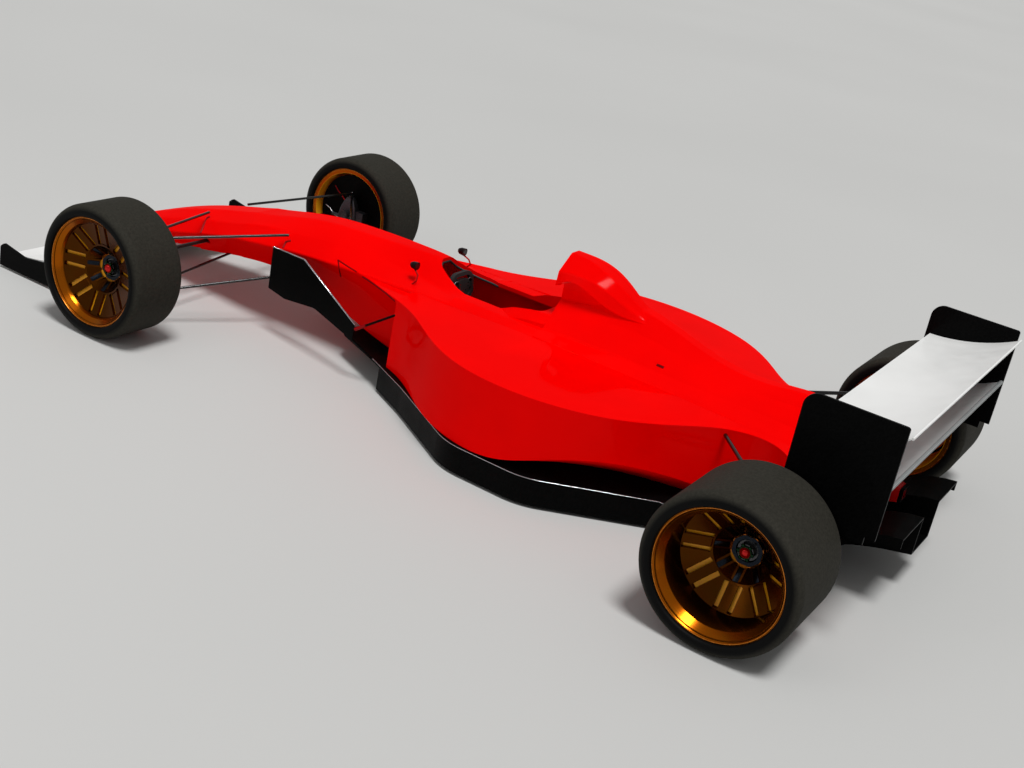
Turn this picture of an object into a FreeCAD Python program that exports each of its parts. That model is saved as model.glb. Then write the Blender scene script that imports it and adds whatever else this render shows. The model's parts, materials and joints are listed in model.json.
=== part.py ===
import FreeCAD, Part
import math
import os
from FreeCAD import Vector

# Open wheel single seater racing car, bare of any lettering.
# Millimetres. Pieces are drawn with y counted back from the front axle, x to the
# car's left and z up from the ground. save() then shifts them along y, so that the
# origin lies on the ground under the middle of the car, with the nose towards -Y.

# driving dimensions
wheelbase = 3453.0
frontOverhang = 942.0
rearOverhang = 435.0
overallLength = frontOverhang + wheelbase + rearOverhang
frontAxleY = frontOverhang - overallLength / 2
groundClearance = 15.0
floorTopZ = 140.0
creaseZ = 496.0          # height of the sharp edge round the sidepod tops
seamX = 300.0            # the sidepods meet the tub and the engine cover here
shellWall = 10.0         # bodywork skin with its core
tubWall = 22.0           # sandwich wall of the monocoque
runningGap = 0.05        # radial clearance of an axle in its hub
bodyGap = 0.5            # air between pieces that only nearly touch

frontWheel = {
    "axleY": 0.0, "radius": 331.4, "innerX": 836.0, "outerX": 1156.0, "coneDepth": 46.0,
    "coneRadius": 238.0, "dishDepth": 62.0, "dishRadius": 230.0, "funnelDepth": 100.0,
    "funnelRadius": 116.0, "hubRecess": 163.5}
rearWheel = {
    "axleY": wheelbase, "radius": 330.0, "innerX": 846.0, "outerX": 1302.0, "coneDepth": 60.0,
    "coneRadius": 234.0, "dishDepth": 185.0, "dishRadius": 227.0, "funnelDepth": 250.0,
    "funnelRadius": 120.0, "hubRecess": 309.0}
rimInset = 24.0
beadRadius = 270.0       # the rim's flange, where the tyre's side begins
seatRadius = 256.0
barrelRadius = 244.0     # inside of the rim's barrel
hubRingRadius = 66.0
shoulderRadius = 45.0
spokeCount = 8
slotOffset = 30.0        # each spoke has a slot along either side
slotWidth = 20.0
axleRadius = 24.0
hubRadius = 52.0
brakeDiscRadius = 139.0
brakeDiscWidth = 28.0
discRecess = 70.0        # brake disc, inboard of the hub's face
kingpinX = 865.0
rodRadius = 10.0


# drawing helpers
def unit(a, b):
    d = b - a
    return d * (1.0 / d.Length)


def roundedWire(corners, place):
    """Closed wire of straight runs and tangent arcs. corners holds (u, v, radius)."""
    points = [place(u, v) for u, v, radius in corners]
    count = len(points)
    edges = []
    ends = []
    for i in range(count):
        corner = points[i]
        toLast = unit(corner, points[i - 1])
        toNext = unit(corner, points[(i + 1) % count])
        radius = corners[i][2]
        if radius <= 0:
            ends.append((corner, None, corner))
            continue
        half = toLast.getAngle(toNext) / 2
        reach = radius / math.tan(half)
        middle = (toLast + toNext).normalize()
        bow = corner + middle * (radius / math.sin(half) - radius)
        ends.append((corner + toLast * reach, bow, corner + toNext * reach))
    for i in range(count):
        start, bow, end = ends[i]
        if bow is not None:
            edges.append(Part.Arc(start, bow, end).toShape())
        following = ends[(i + 1) % count][0]
        if end.distanceToPoint(following) > 1e-4:
            edges.append(Part.LineSegment(end, following).toShape())
    return Part.Wire(edges)


def mirroredCorners(half):
    """A half outline from the bottom middle up to the top middle, made whole."""
    return half + [(-x, z, radius) for x, z, radius in reversed(half)]


def crossSection(y, half):
    return roundedWire(mirroredCorners(half), lambda x, z: Vector(x, y, z))


def sideOutline(corners, x):
    return roundedWire(corners, lambda y, z: Vector(x, y, z))


def planOutline(corners, z):
    return roundedWire(corners, lambda x, y: Vector(x, y, z))


def plate(wire, run):
    return Part.Face(wire).extrude(run)


def loft(wires, ruled=False):
    return Part.makeLoft(wires, True, ruled)


def turned(corners, axisY, axisZ):
    """Solid of revolution about a line along X. corners holds (x, distance from it, radius)."""
    wire = roundedWire(corners, lambda x, r: Vector(x, axisY, axisZ + r))
    return Part.Face(wire).revolve(Vector(0, axisY, axisZ), Vector(1, 0, 0), 360)


def tube(start, end, radius):
    return Part.makeCylinder(radius, (end - start).Length, start, end - start)


def box(x, y, z):
    """Box from the (low, high) pairs of its three sides."""
    size = Vector(x[1] - x[0], y[1] - y[0], z[1] - z[0])
    return Part.makeBox(size.x, size.y, size.z, Vector(x[0], y[0], z[0]))


def join(shapes):
    return shapes[0].multiFuse(shapes[1:]).removeSplitter() if len(shapes) > 1 else shapes[0]


def together(shapes):
    return Part.makeCompound(shapes)


def mirrored(shape):
    return shape.mirror(Vector(0, 0, 0), Vector(1, 0, 0))


def save(name, shape):
    moved = shape.copy()
    moved.translate(Vector(0, frontAxleY, 0))
    moved.exportStep("parts/" + name + ".step")


def savePair(name, shape):
    save(name + "_left", shape)
    save(name + "_right", mirrored(shape))


# bodywork
# y, top z, shoulder x, hip z, hip x, crease z, crease x, bottom z, bottom x
noseTipStation = (-884, 180, 24, 173, 50, 157, 66, 130, 46)
tubStations = [
    (-860, 194, 32, 182, 68, 160, 86, 118, 60),
    (-600, 300, 55, 272, 125, 215, 168, 148, 105),
    (-300, 406, 70, 362, 165, 290, 221, 200, 140),
    (0, 484, 80, 440, 190, 375, 253, 255, 150),
    (100, 510, 82, 466, 198, 398, 263, 265, 150),
    (400, 574, 75, 522, 200, 444, 287, 283, 150),
    (700, 612, 66, 552, 190, 478, 290, 250, 185),
    (1000, 624, 56, 560, 168, 498, 298, 190, 235),
    (1270, 625, 42, 536, 160, 512, 300, 156, 280),
    (1500, 541, 100, 540, 230, 516, 300, 152, 290),
    (1990, 541, 100, 540, 230, 520, 300, 152, 290)]
deckStartY = 1500.0      # flat deck round the seat from here back
tubEndY = 1990.0
noseEndY = 100.0
rackY = -125.0
rackZ = 300.0


def tubSection(row):
    y, topZ, shoulderX, hipZ, hipX, creaseAt, creaseX, bottomZ, bottomX = row
    return crossSection(y, [
        (bottomX, bottomZ, 14), (creaseX, creaseAt, 12), (hipX, hipZ, 40), (shoulderX, topZ, 55)])


def tubHollow(row):
    """The space inside the tub's wall, with plain corners."""
    y, topZ, shoulderX, hipZ, hipX, creaseAt, creaseX, bottomZ, bottomX = row
    return crossSection(y, [
        (bottomX - tubWall, bottomZ + tubWall, 0), (creaseX - tubWall, creaseAt, 0),
        (hipX - 0.8 * tubWall, hipZ - 0.8 * tubWall, 0), (shoulderX - 0.4 * tubWall, topZ - tubWall, 0)])


def stationsBetween(first, last):
    return [row for row in tubStations if first <= row[0] <= last]


def tubPiece(first, last):
    curved = loft([tubSection(row) for row in stationsBetween(first, min(last, deckStartY))])
    if last <= deckStartY:
        return curved
    return join([curved, loft([tubSection(row) for row in stationsBetween(deckStartY, last)], True)])


def makeNose():
    """Nose cone, with the keel below it that carries the lower arms."""
    keel = plate(sideOutline([
        (-330, 200, 0), (-290, 172, 20), (-16, 222, 20), (70, 262, 0), (70, 300, 0), (-330, 240, 0)], -60),
        Vector(120, 0, 0))
    tunnel = tube(Vector(-400, rackY, rackZ), Vector(400, rackY, rackZ), rodRadius + 8)
    tip = loft([tubSection(noseTipStation), tubSection(tubStations[0])], True)
    return join([tubPiece(-860, noseEndY), tip, keel]).cut(tunnel)


cockpitFrontY = 1270.0
cockpitHalf = 152.0
columnStart = Vector(0, 1150, 469.5)
columnEnd = Vector(0, 1380, 510)


def cockpitOpening(bottomZ, topZ):
    outline = planOutline([
        (-cockpitHalf, 1960, 30), (-cockpitHalf, 1470, 160), (-60, cockpitFrontY, 62),
        (60, cockpitFrontY, 62), (cockpitHalf, 1470, 160), (cockpitHalf, 1960, 30)], bottomZ)
    return plate(outline, Vector(0, 0, topZ - bottomZ))


def makeMonocoque():
    outer = tubPiece(noseEndY, tubEndY)
    inner = loft([tubHollow(row) for row in stationsBetween(400, tubEndY)], True)
    keepFrom = box((-400, 400), (420, tubEndY - tubWall), (0, 900))
    hollow = inner.common(keepFrom)
    shell = outer.cut(hollow).cut(cockpitOpening(400, 800))
    web = box((-280, 280), (1190, 1206), (400, 700)).common(hollow)
    bore = tube(columnStart, columnEnd, 14 + runningGap)
    return join([shell, web]).cut(bore)


# y, half width outside, height of the inner rim
headrestStations = [(1690, 212, 530), (1778, 206, 570), (1878, 202, 593), (1985, 198, 601)]


def makeHeadrest():
    """Horseshoe round the driver's head, open to the front, whose top falls outwards."""
    rise = loft([crossSection(y, [(outerX, 480, 0), (outerX, rimZ - 38, 0), (cockpitHalf, rimZ, 0)])
                 for y, outerX, rimZ in headrestStations], True)
    inside = plate(planOutline([
        (-cockpitHalf, 1600, 0), (cockpitHalf, 1600, 0), (cockpitHalf, 1930, 50),
        (-cockpitHalf, 1930, 50)], 400), Vector(0, 0, 400))
    pad = rise.cut(inside).cut(tubPiece(noseEndY, tubEndY))
    return max(pad.Solids, key=lambda solid: solid.Volume)


# y, top z, spine x, flank z, flank x, shoulder z, shoulder x, edge z
coverStations = [
    (1990, 705, 60, 638, 130, 548, 222, 532),
    (2200, 742, 46, 650, 125, 552, 222, 528),
    (2400, 740, 36, 654, 106, 556, 215, 525),
    (2700, 664, 32, 615, 100, 552, 205, 520),
    (3000, 622, 32, 590, 100, 545, 195, 512),
    (3450, 575, 34, 548, 105, 515, 195, 490)]
coverBottomZ = 400.0


def coverSection(row, inset):
    y, topZ, spineX, flankZ, flankX, shoulderZ, shoulderX, edgeZ = row
    return crossSection(y, [
        (seamX - inset, coverBottomZ, 6),
        (seamX - inset, edgeZ - inset, 6),
        (shoulderX - inset, shoulderZ - inset, 30),
        (flankX - inset, flankZ - 0.6 * inset, 30),
        (spineX - 0.6 * inset, topZ - inset, 14)])


# y, top z, top x, waist z, waist x, lip z, lip x
airboxStations = [
    (1968, 887, 36, 812, 131, 744, 137),
    (2090, 880, 44, 820, 123, 778, 138),
    (2210, 842, 54, 792, 106, 728, 120),
    (2340, 768, 36, 735, 78, 694, 92),
    (2480, 722, 26, 702, 52, 680, 62)]
# y, half width, top z of the neck that carries the airbox
neckStations = [(1990, 92, 795), (2150, 84, 795), (2260, 60, 740), (2380, 38, 700)]


def airboxSection(row, inset):
    y, topZ, topX, waistZ, waistX, lipZ, lipX = row
    return crossSection(y, [
        (lipX - 0.7 * inset - 40, lipZ + 0.4 * inset - 8, 0),
        (lipX - 1.2 * inset, lipZ + 0.4 * inset, 5),
        (waistX - inset, waistZ - 0.4 * inset, 20),
        (topX - 0.4 * inset, topZ - inset, 20)])


def makeEngineCover():
    outer = loft([coverSection(row, 0) for row in coverStations])
    inner = loft([coverSection(row, shellWall) for row in coverStations])
    inner = inner.common(box((-400, 400), (1990, 3460), (0, 900)))
    head = loft([airboxSection(row, 0) for row in airboxStations])
    neck = loft([crossSection(y, [(half, 600, 0), (half, topZ, 0)]) for y, half, topZ in neckStations], True)
    duct = loft([airboxSection(row, 10) for row in airboxStations[:3]])
    body = join([outer, head, neck]).cut(inner)
    return body.cut(duct).cut(box((-400, 400), (1900, 3500), (300, coverBottomZ + 0.01)))


# y, outer x, wall bottom z, undercut x at the floor, inner top z
podStations = [
    (1300, 430, 145, 425, 516),
    (1400, 477, 145, 472, 517),
    (1500, 543, 145, 538, 517),
    (1700, 700, 145, 690, 522),
    (1950, 828, 145, 810, 527),
    (2200, 862, 161, 760, 528),
    (2450, 824, 243, 560, 525),
    (2700, 702, 292, 420, 522),
    (2860, 552, 262, 372, 517),
    (3000, 402, 205, 362, 512),
    (3330, 398, 160, 372, 496)]
podEndY = 3330.0
podFloorZ = floorTopZ + bodyGap


def podSection(row, inset):
    y, outerX, wallZ, underX, innerZ = row
    corners = [
        (seamX - 20 + inset, podFloorZ + inset, 0), (underX - inset, podFloorZ + inset, 0),
        (outerX - inset, wallZ + inset, 0), (outerX - inset, creaseZ - inset, 0),
        (seamX - 20 + inset, innerZ - inset, 0)]
    return roundedWire(corners, lambda x, z: Vector(x, y, z))


def podSolid():
    return loft([podSection(row, 0) for row in podStations])


def makeSidepod():
    inner = loft([podSection(row, shellWall) for row in podStations])
    lip = plate(planOutline([
        (255, 800, 0), (320, 1040, 300), (430, 1300, 0), (250, 1300, 0)], 484), Vector(0, 0, 13))
    inner = inner.common(box((0, 900), (1290, podEndY - shellWall), (0, 600)))
    body = join([podSolid(), lip]).cut(inner).cut(tubPiece(noseEndY, tubEndY))
    return body.cut(box((-10, seamX), (1000, 3600), (0, 700)))


def makeRadiator():
    core = box((345, 640), (0, 60), (160, 470))
    core.rotate(Vector(345, 0, 0), Vector(0, 0, 1), 38)
    core.translate(Vector(0, 1560, 0))
    return core


# half outline of the floor: x, y, radius
floorHalf = [
    (250, 880, 60), (400, 1200, 300), (560, 1490, 500), (860, 1960, 320), (870, 2380, 320),
    (560, 2890, 0), (560, 3180, 0)]
floorDeepY = 1265.0      # ahead of this the floor is a thin plate
floorPlateWall = 12.0


def makeUnderfloor():
    whole = floorHalf + [(-x, y, radius) for x, y, radius in reversed(floorHalf)]
    deep = plate(planOutline(whole, groundClearance), Vector(0, 0, floorTopZ - groundClearance))
    ahead = box((-900, 900), (800, floorDeepY), (0, floorTopZ - floorPlateWall))
    return deep.cut(ahead)


diffuserStartY = 3180.0
diffuserWall = 8.0
diffuserInnerX = 112.0
diffuserOuterX = 400.0
# y, height of the arched roofs, height of the low panel between them
diffuserProfile = [
    (diffuserStartY, 30, 30), (3430, 52, 40), (3510, 112, 62), (3585, 190, 90), (3640, 250, 112),
    (3700, 298, 132), (3765, 325, 150), (3830, 341, 164), (3885, 348, 176)]


def rising(x, width, heights, depth):
    """Strip of one panel or fence that climbs to the back, of one depth all along."""
    top = [Vector(x, y, z) for y, z in heights]
    bottom = [Vector(x, y, max(z - depth, 22)) for y, z in reversed(heights)]
    return Part.Face(Part.makePolygon(top + bottom + top[:1])).extrude(Vector(width, 0, 0))


def makeDiffuser():
    """Arched channel behind the floor on either side, walled, with a low panel between them."""
    roof = [(y, high) for y, high, low in diffuserProfile]
    panel = [(y, low) for y, high, low in diffuserProfile]
    wallTop = [Vector(diffuserInnerX, y, high) for y, high, low in diffuserProfile[1:]]
    wallFoot = [Vector(diffuserInnerX, y, low - diffuserWall) for y, high, low in diffuserProfile[:0:-1]]
    innerWall = Part.Face(Part.makePolygon(wallTop + wallFoot + wallTop[:1]))
    half = join([
        rising(diffuserInnerX, diffuserOuterX - diffuserInnerX, roof, diffuserWall),
        rising(0, diffuserInnerX + diffuserWall, panel, diffuserWall),
        rising(diffuserOuterX - diffuserWall, diffuserWall, roof[1:], 45),
        innerWall.extrude(Vector(diffuserWall, 0, 0))])
    return join([half, mirrored(half)])


def makeEngine():
    return box((-250, 250), (2060, 2700), (160, 470))


def makeGearbox():
    """Gear case with its output flanges, the tail and the post under the rear wing."""
    case = loft([crossSection(y, [(x, low, 20), (x, high, 20)]) for y, x, low, high in (
        (2705, 190, 165, 440), (3300, 130, 180, 430), (3560, 95, 250, 420))])
    tail = loft([crossSection(y, [(x, low, 12), (x, high, 12)]) for y, x, low, high in (
        (3560, 70, 290, 410), (3740, 45, 330, 400))])
    axleZ = rearWheel["radius"]
    flanges = tube(Vector(-170, wheelbase, axleZ), Vector(170, wheelbase, axleZ), 45)
    post = box((-9, 9), (3500, 3700), (395, 640)).cut(makeRearPlane(*lowerPlaneShift))
    post = min(post.Solids, key=lambda solid: solid.CenterOfMass.z)
    socket = tube(Vector(0, 3520, 272), Vector(0, 3570, 272), 12)
    return join([case, tail, flanges, post]).cut(socket)


def makeRearLight():
    return box((-30, 30), (3740 + bodyGap, 3755), (340, 390))


# wings
def wingFoil(leadY, leadZ, trailY, trailZ, thickness, camber):
    """Closed outline of one wing element, as a lens bent by its camber."""
    lead = Vector(0, leadY, leadZ)
    trail = Vector(0, trailY, trailZ)
    middle = (lead + trail) * 0.5
    along = unit(lead, trail)
    down = Vector(0, along.z, -along.y)
    upper = Part.Arc(lead, middle + down * (camber - thickness / 2), trail).toShape()
    lower = Part.Arc(trail, middle + down * (camber + thickness / 2), lead).toShape()
    return Part.Face(Part.Wire([upper, lower]))


def spanned(face, halfSpan):
    whole = face.copy()
    whole.translate(Vector(-halfSpan, 0, 0))
    return whole.extrude(Vector(2 * halfSpan, 0, 0))


rearWingHalf = 838.0
endplateWall = 12.0
frontWingHalf = 878.0
lowerPlaneShift = (-20, -215)


def makeRearPlane(dropY, dropZ):
    foil = wingFoil(3478 + dropY, 827 + dropZ, 3888 + dropY, 940 + dropZ, 30, 42)
    return spanned(foil, rearWingHalf - endplateWall / 2 - bodyGap)


def makeRearEndplate():
    outline = sideOutline([
        (3457, 466, 0), (3825, 466, 0), (3825, 500, 0), (3867, 500, 0), (3867, 975, 12),
        (3457, 975, 60)], rearWingHalf - endplateWall / 2)
    return plate(outline, Vector(endplateWall, 0, 0))


def makeFrontWing():
    """Main plane across the car and a swept flap to each side of the nose."""
    span = frontWingHalf - endplateWall / 2 - bodyGap
    main = spanned(wingFoil(-930, 70, -550, 86, 26, 14), span)
    outer = wingFoil(-775, 112, -455, 185, 14, 16).OuterWire
    inner = wingFoil(-620, 104, -470, 138, 10, 8).OuterWire
    outer.translate(Vector(span, 0, 0))
    inner.translate(Vector(200, 0, 0))
    flap = loft([inner, outer])
    return together([main, flap, mirrored(flap)])


def makeFrontEndplate():
    outline = sideOutline([
        (-frontOverhang, groundClearance, 0), (-420, groundClearance, 0), (-420, 205, 10),
        (-557, 139, 60), (-753, 112, 60), (-915, 141, 20), (-frontOverhang, 118, 10)],
        frontWingHalf - endplateWall / 2)
    return plate(outline, Vector(endplateWall, 0, 0))


def makeNosePylon():
    outline = sideOutline([(-880, 70, 0), (-700, 70, 0), (-680, 190, 0), (-850, 170, 0)], 40)
    pylon = plate(outline, Vector(12, 0, 0)).cut(makeFrontWing()).cut(makeNose())
    return max(pylon.Solids, key=lambda solid: solid.Volume)


# small bodywork
def makeBargeBoard():
    """Turning vane beside the tub, with its stays to the floor and the sidepod."""
    outline = roundedWire([
        (439, 245, 0), (439, 469, 0), (680, 487, 8), (1095, 299, 0), (1092, 213, 0),
        (797, 270, 120), (571, 233, 60)], lambda y, z: Vector(330 + (y - 439) * 0.18, y, z))
    board = Part.Face(outline).extrude(Vector(5, 0, 0))
    toPod = tube(Vector(448, 1083, 264), Vector(425, 1335, 440), 6).cut(podSolid())
    toFloor = tube(Vector(445, 1070, 225), Vector(390, 1180, floorTopZ - 5), 6).cut(makeUnderfloor())
    return join([board, toPod, max(toFloor.Solids, key=lambda solid: solid.Volume)])


def makeMirror():
    """Small mirror pod on a stalk that bows to the rear."""
    def outline(y, half, tall, radius):
        return roundedWire([
            (-half, -tall, radius), (half, -tall, radius), (half, tall, radius), (-half, tall, radius)],
            lambda x, z: Vector(209 + x, y, 608 + z))

    head = loft([outline(1204, 11, 11, 10), outline(1216, 18, 17, 15), outline(1242, 21, 19, 17)], True)
    bends = [Vector(212, 1230, 592), Vector(225, 1262, 572), Vector(240, 1268, 545), Vector(238, 1226, 500)]
    runs = [tube(bends[i], bends[i + 1], 4) for i in range(3)]
    knees = [Part.makeSphere(4, bends[i]) for i in (1, 2)]
    mirror = join([head] + runs + knees).cut(tubPiece(noseEndY, tubEndY))
    return max(mirror.Solids, key=lambda solid: solid.Volume)


# cockpit pieces
def makeSteeringWheel():
    """Oval grip with its hub and bar on the column, which runs in the web's bore."""
    def oval(half, tall, radius):
        return roundedWire([
            (-half, -tall, radius), (half, -tall, radius), (half, tall, radius), (-half, tall, radius)],
            lambda x, z: Vector(x, -11, z))

    grip = plate(oval(96, 74, 55), Vector(0, 22, 0)).cut(plate(oval(76, 54, 38), Vector(0, 22, 0)))
    hub = plate(oval(44, 38, 16), Vector(0, 30, 0))
    bar = box((-80, 80), (-7, 7), (-14, 14))
    wheel = join([grip, hub, bar])
    along = unit(columnStart, columnEnd)
    wheel.rotate(Vector(0, 0, 0), Vector(1, 0, 0), math.degrees(math.atan2(along.z, along.y)))
    wheel.translate(columnEnd)
    return join([wheel, tube(columnStart, columnEnd, 14)])


def makeSeat():
    side = sideOutline([
        (1300, 182, 0), (1640, 182, 80), (1935, 480, 0), (1905, 500, 0), (1620, 210, 60),
        (1310, 200, 0)], -190)
    return plate(side, Vector(380, 0, 0))


# running gear
def makeTyre(w):
    a, b, r = w["innerX"], w["outerX"], w["radius"]
    corners = [
        (a + rimInset, seatRadius, 0), (a + rimInset, beadRadius, 0), (a, beadRadius, 14),
        (a, r, shoulderRadius), (b, r, shoulderRadius), (b, beadRadius, 14),
        (b - rimInset, beadRadius, 0), (b - rimInset, seatRadius, 0)]
    return turned(corners, w["axleY"], r)


def makeRim(w):
    """Deep dished rim. Eight raised spokes, each between two slots, run out from the hub ring."""
    a, b = w["innerX"] + rimInset, w["outerX"] - rimInset
    face = w["outerX"]
    seat, flange = seatRadius - bodyGap, beadRadius - bodyGap
    hubX, funnelX, dishX = face - w["hubRecess"], face - w["funnelDepth"], face - w["dishDepth"]
    corners = [
        (a, seat, 0), (b, seat, 0), (b, flange, 0), (b + 5, flange, 0), (b + 5, flange - 7, 0),
        (face - w["coneDepth"], w["coneRadius"], 0), (dishX, w["dishRadius"], 0),
        (funnelX, w["funnelRadius"], 0), (hubX, hubRingRadius, 0), (hubX, 45, 0), (hubX - 14, 45, 0),
        (hubX - 14, hubRingRadius + 4, 0), (funnelX - 10, w["funnelRadius"] + 6, 0),
        (dishX - 10, barrelRadius, 0), (a - 5, barrelRadius, 0), (a - 5, flange, 0), (a, flange, 0)]
    rim = turned(corners, 0, 0)
    spoke = Part.makePolygon([
        Vector(hubX - 6, -20, 54), Vector(hubX + 8, -20, 58), Vector(funnelX + 6, -20, 128),
        Vector(funnelX - 6, -20, 128), Vector(hubX - 6, -20, 54)])
    spoke = Part.Face(spoke).extrude(Vector(0, 40, 0))
    spokes = []
    slots = []
    for i in range(spokeCount):
        angle = i * 360 / spokeCount
        turnedSpoke = spoke.copy()
        turnedSpoke.rotate(Vector(0, 0, 0), Vector(1, 0, 0), angle)
        spokes.append(turnedSpoke)
        for side in (-slotOffset, slotOffset):
            slot = box((funnelX - 60, dishX + 20), (side - slotWidth / 2, side + slotWidth / 2),
                       (w["funnelRadius"] + 4, w["dishRadius"] - 4))
            slot.rotate(Vector(0, 0, 0), Vector(1, 0, 0), angle)
            slots.append(slot)
    rim = join([rim] + spokes)
    for slot in slots:
        rim = rim.cut(slot)
    rim.translate(Vector(0, w["axleY"], w["radius"]))
    return rim


def makeHub(w):
    """Axle in the upright's bore, with the brake disc, drive flange and centre nut."""
    hubX = w["outerX"] - w["hubRecess"]
    discX = hubX - discRecess
    collarX = kingpinX - 65
    corners = [
        (collarX, 0, 0), (collarX, 33, 0), (collarX + 12, 33, 0), (collarX + 12, axleRadius, 0),
        (discX - 14, axleRadius, 0), (discX - 14, hubRadius, 0), (discX, hubRadius, 0),
        (discX, brakeDiscRadius, 0), (discX + brakeDiscWidth, brakeDiscRadius, 0),
        (discX + brakeDiscWidth, hubRadius, 0), (hubX - 14 - bodyGap, hubRadius, 0),
        (hubX - 14 - bodyGap, 44, 0), (hubX + 2, 44, 0), (hubX + 2, 0, 0)]
    hub = turned(corners, 0, 0)
    nut = Part.makePolygon([Vector(hubX + 2, 38 * math.cos(math.radians(60 * i)),
                                   38 * math.sin(math.radians(60 * i))) for i in range(7)])
    hub = join([hub, Part.Face(nut).extrude(Vector(24, 0, 0))])
    hub.translate(Vector(0, w["axleY"], w["radius"]))
    return hub


def makeUpright(w, topZ, bottomZ, topShift):
    """Upright round the axle's bore, with the brake caliper on its bracket."""
    hubX = w["outerX"] - w["hubRecess"]
    y, z = w["axleY"], w["radius"]
    sections = [(bottomZ + 10, 20, 22, 0), (z, 28, 60, 0), (topZ - 10, 18, 20, topShift)]
    body = loft([roundedWire([
        (-half, y + shift - depth, 10), (half, y + shift - depth, 10), (half, y + shift + depth, 10),
        (-half, y + shift + depth, 10)], lambda x, v, level=level: Vector(kingpinX + x, v, level))
        for level, half, depth, shift in sections])
    discX = hubX - discRecess
    caliper = box((discX - 22, discX + brakeDiscWidth + 14), (y + 72, y + 176), (z - 50, z + 50))
    slot = box((discX - 6, discX + brakeDiscWidth + 6), (y, y + brakeDiscRadius + 8), (z - 80, z + 80))
    bracket = box((kingpinX - 15, discX - 15), (y + 40, y + 110), (z - 30, z + 30))
    bracket = bracket.cut(tube(Vector(kingpinX + 28, y, z), Vector(hubX, y, z), hubRadius + 8))
    bore = tube(Vector(kingpinX - 60, y, z), Vector(hubX, y, z), axleRadius + runningGap)
    return join([body, caliper.cut(slot), bracket]).cut(bore)


upperBall = Vector(kingpinX, 0, 458)
lowerBall = Vector(kingpinX, 0, 165)
ballRadius = 13.0
ballGap = 1.0


def makeFrontKnuckle():
    """Front upright with kingpin ends and the steering arm."""
    top = upperBall.z - ballRadius - ballGap
    bottom = lowerBall.z + ballRadius + ballGap
    knuckle = makeUpright(frontWheel, top, bottom, 0)
    pins = [tube(Vector(kingpinX, 0, bottom), Vector(kingpinX, 0, bottom + 30), 14),
            tube(Vector(kingpinX, 0, top - 30), Vector(kingpinX, 0, top), 14)]
    arm = tube(Vector(kingpinX, -30, rackZ), Vector(kingpinX, rackY, rackZ), 9)
    end = Part.makeSphere(12, Vector(kingpinX, rackY, rackZ))
    return join([knuckle, arm, end] + pins)


def rod(start, end, radius, startBack=0, endBack=0):
    along = unit(start, end)
    return tube(start + along * startBack, end - along * endBack, radius)


def makeFrontSuspension():
    """Two wishbones a side, from their ball joints to the nose and the tub."""
    body = join([makeNose(), tubPiece(noseEndY, tubEndY)])
    arms = []
    for ball, inner in (
            (upperBall, (Vector(155, -175, 436), Vector(255, 465, 527))),
            (lowerBall, (Vector(40, -60, 232), Vector(140, 480, 300)))):
        legs = [rod(end, ball, 7) for end in inner]
        arm = join(legs + [Part.makeSphere(ballRadius, ball)]).cut(body)
        arms.append(max(arm.Solids, key=lambda solid: solid.Volume))
    return together(arms + [mirrored(arm) for arm in arms])


def makeTrackRods():
    end = kingpinX - 12 - 5
    return tube(Vector(-end, rackY, rackZ), Vector(end, rackY, rackZ), rodRadius)


rearUpperBall = Vector(842, wheelbase - 28, 480)
rearLowerBall = Vector(850, wheelbase, 172)


def makeRearUpright():
    """Rear upright, held by the arms, so its ends carry their joints."""
    return makeUpright(rearWheel, rearUpperBall.z + 4, rearLowerBall.z - 8, -28)


def makeRearSuspension():
    """Two wishbones a side, from the uprights to the body side and the gear case."""
    upright = makeRearUpright()
    pod = podSolid()
    case = makeGearbox()
    arms = []
    for ball, inner in (
            (rearUpperBall, (Vector(380, 3040, 470), Vector(70, 3540, 400))),
            (rearLowerBall, (Vector(100, 3390, 215), Vector(80, 3550, 275)))):
        arm = join([rod(end, ball, 9) for end in inner] + [Part.makeSphere(9, ball)])
        arm = arm.cut(upright).cut(pod).cut(case)
        arms.append(max(arm.Solids, key=lambda solid: solid.Volume))
    return together(arms + [mirrored(arm) for arm in arms])


def makeDriveshaft():
    axleZ = rearWheel["radius"]
    return tube(Vector(176, wheelbase, axleZ), Vector(kingpinX - 65, wheelbase, axleZ), 16)


def main():
    os.makedirs("parts", exist_ok=True)
    save("nose", makeNose())
    save("monocoque", makeMonocoque())
    save("headrest_surround", makeHeadrest())
    save("engine_cover", makeEngineCover())
    savePair("sidepod", makeSidepod())
    radiator = makeRadiator()
    save("radiators", together([radiator, mirrored(radiator)]))
    save("underfloor", makeUnderfloor())
    save("diffuser", makeDiffuser())
    save("engine", makeEngine())
    save("gearbox", makeGearbox())
    save("rear_light", makeRearLight())
    save("rear_wing_upper_plane", makeRearPlane(0, 0))
    save("rear_wing_lower_plane", makeRearPlane(*lowerPlaneShift))
    for name, piece in (("nose_pylons", makeNosePylon()), ("mirrors", makeMirror()),
                        ("rear_uprights", makeRearUpright())):
        save(name, together([piece, mirrored(piece)]))
    savePair("rear_wing_endplate", makeRearEndplate())
    savePair("front_wing_endplate", makeFrontEndplate())
    savePair("barge_board", makeBargeBoard())
    save("front_wing_planes", makeFrontWing())
    save("steering_wheel", makeSteeringWheel())
    save("seat", makeSeat())
    for place, w in (("front", frontWheel), ("rear", rearWheel)):
        savePair("tyre_" + place, makeTyre(w))
        savePair("rim_" + place, makeRim(w))
        savePair("hub_" + place, makeHub(w))
    savePair("knuckle", makeFrontKnuckle())
    save("front_suspension_arms", makeFrontSuspension())
    save("rear_suspension_arms", makeRearSuspension())
    save("track_rods", makeTrackRods())
    savePair("driveshaft", makeDriveshaft())


main()
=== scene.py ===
import bmesh
import bpy
import json
import math
from mathutils import Matrix, Vector

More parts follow.
